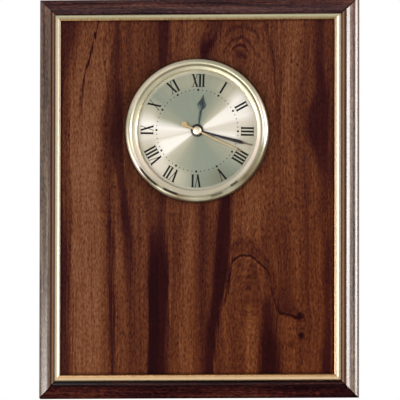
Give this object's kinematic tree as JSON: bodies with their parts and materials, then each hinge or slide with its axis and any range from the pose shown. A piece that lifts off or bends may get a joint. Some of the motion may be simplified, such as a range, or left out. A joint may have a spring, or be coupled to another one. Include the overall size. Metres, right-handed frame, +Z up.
{
  "type": "wall clock plaque",
  "caption": "Walnut wall plaque with gilt-edged mitred mouldings and a round brass-bezel quartz clock insert, with hands, gear train, knob and battery door.",
  "frame": {"origin": "centre of the plaque's flat back, on the back liner just below the clock bore", "axes": "+Z up, +X to the right as the clock is read, -Y out of the dial towards the reader, +Y out of the back towards the wall"},
  "size_m": [0.2032, 0.0291, 0.254],
  "materials": {
    "walnut_face": "polished",
    "walnut_edge": "polished",
    "core": "raw",
    "liner": "matt",
    "gilt": "gilt",
    "brass": "polished",
    "dial_metal": "sunray brushed",
    "crystal_glass": "clear",
    "hand_black": "satin",
    "black_plastic": "moulded",
    "grey_plastic": "moulded",
    "white_plastic": "moulded",
    "rubber_band": "matt",
    "plated_steel": "plated",
    "soft_iron": "bare",
    "copper_wire": "enamelled",
    "circuit_green": "lacquered",
    "felt": "felt"
  },
  "bodies": {
    "root": {"face_veneer": "walnut_face", "core_board": "core", "back_liner": "liner", "moulding_top": "walnut_edge", "moulding_left": "walnut_edge", "moulding_bottom": "walnut_edge", "moulding_right": "walnut_edge", "gilt_slip_top": "gilt", "gilt_slip_left": "gilt", "gilt_slip_bottom": "gilt", "gilt_slip_right": "gilt", "mitre_wedge_top_left": "plated_steel", "mitre_wedge_top_right": "plated_steel", "mitre_wedge_bottom_left": "plated_steel", "mitre_wedge_bottom_right": "plated_steel", "sawtooth_hanger": "plated_steel", "hanger_nail_left": "plated_steel", "hanger_nail_right": "plated_steel", "wall_bumper_left": "felt", "wall_bumper_right": "felt", "bezel": "brass", "crystal": "crystal_glass", "reflector_ring": "brass", "dial": "dial_metal", "insert_cup": "black_plastic", "retaining_band": "rubber_band", "movement_plate": "grey_plastic", "movement_shell": "grey_plastic", "train_bridge": "brass", "stator": "soft_iron", "coil_core": "soft_iron", "coil_spool": "white_plastic", "coil_winding": "copper_wire", "circuit_board": "circuit_green", "control_chip": "black_plastic", "quartz_can": "plated_steel", "button_cell": "plated_steel", "negative_contact": "brass", "positive_contact": "brass", "case_screw_left": "plated_steel", "case_screw_right": "plated_steel"},
    "second": {"second_hand": "brass", "second_wheel": "brass"},
    "minute": {"minute_hand": "hand_black", "minute_wheel": "brass", "cannon_pinion": "plated_steel"},
    "hour": {"hour_hand": "hand_black", "hour_wheel": "white_plastic"},
    "third": {"third_wheel": "brass"},
    "step": {"step_wheel": "white_plastic"},
    "rotor": {"rotor_pinion": "white_plastic", "rotor_magnet": "soft_iron"},
    "setting": {"motion_wheel": "white_plastic", "setting_knob": "black_plastic"},
    "door": {"battery_door": "black_plastic"}
  },
  "joints": [
    {"name": "second_hand_turn", "type": "hinge", "parent": "root", "child": "second", "pos_m": [0, -0.018, 0.042], "axis": [0, 1, 0], "continuous": true},
    {"name": "minute_hand_turn", "type": "hinge", "parent": "root", "child": "minute", "pos_m": [0, -0.018, 0.042], "axis": [0, 1, 0], "continuous": true},
    {"name": "hour_hand_turn", "type": "hinge", "parent": "root", "child": "hour", "pos_m": [0, -0.018, 0.042], "axis": [0, 1, 0], "continuous": true},
    {"name": "third_wheel_turn", "type": "hinge", "parent": "root", "child": "third", "pos_m": [0.00624, -0.0145, 0.0456], "axis": [0, 1, 0], "continuous": true},
    {"name": "step_wheel_turn", "type": "hinge", "parent": "root", "child": "step", "pos_m": [-0.00561, -0.0135, 0.04524], "axis": [0, 1, 0], "continuous": true},
    {"name": "rotor_turn", "type": "hinge", "parent": "root", "child": "rotor", "pos_m": [-0.01051, -0.0135, 0.04524], "axis": [0, 1, 0], "continuous": true},
    {"name": "setting_knob_turn", "type": "hinge", "parent": "root", "child": "setting", "pos_m": [0, -0.0135, 0.0344], "axis": [0, 1, 0], "continuous": true},
    {"name": "battery_door_twist", "type": "hinge", "parent": "root", "child": "door", "pos_m": [0.016, -0.0085, 0.031], "axis": [0, 1, 0], "range_deg": [0, 35]}
  ],
  "couplings": [
    {"joint": "minute_hand_turn", "follows": "second_hand_turn", "ratio": 0.016667},
    {"joint": "hour_hand_turn", "follows": "second_hand_turn", "ratio": 0.0013889},
    {"joint": "third_wheel_turn", "follows": "second_hand_turn", "ratio": -0.13333},
    {"joint": "step_wheel_turn", "follows": "second_hand_turn", "ratio": -5},
    {"joint": "rotor_turn", "follows": "second_hand_turn", "ratio": 30},
    {"joint": "setting_knob_turn", "follows": "second_hand_turn", "ratio": -0.0055556}
  ]
}
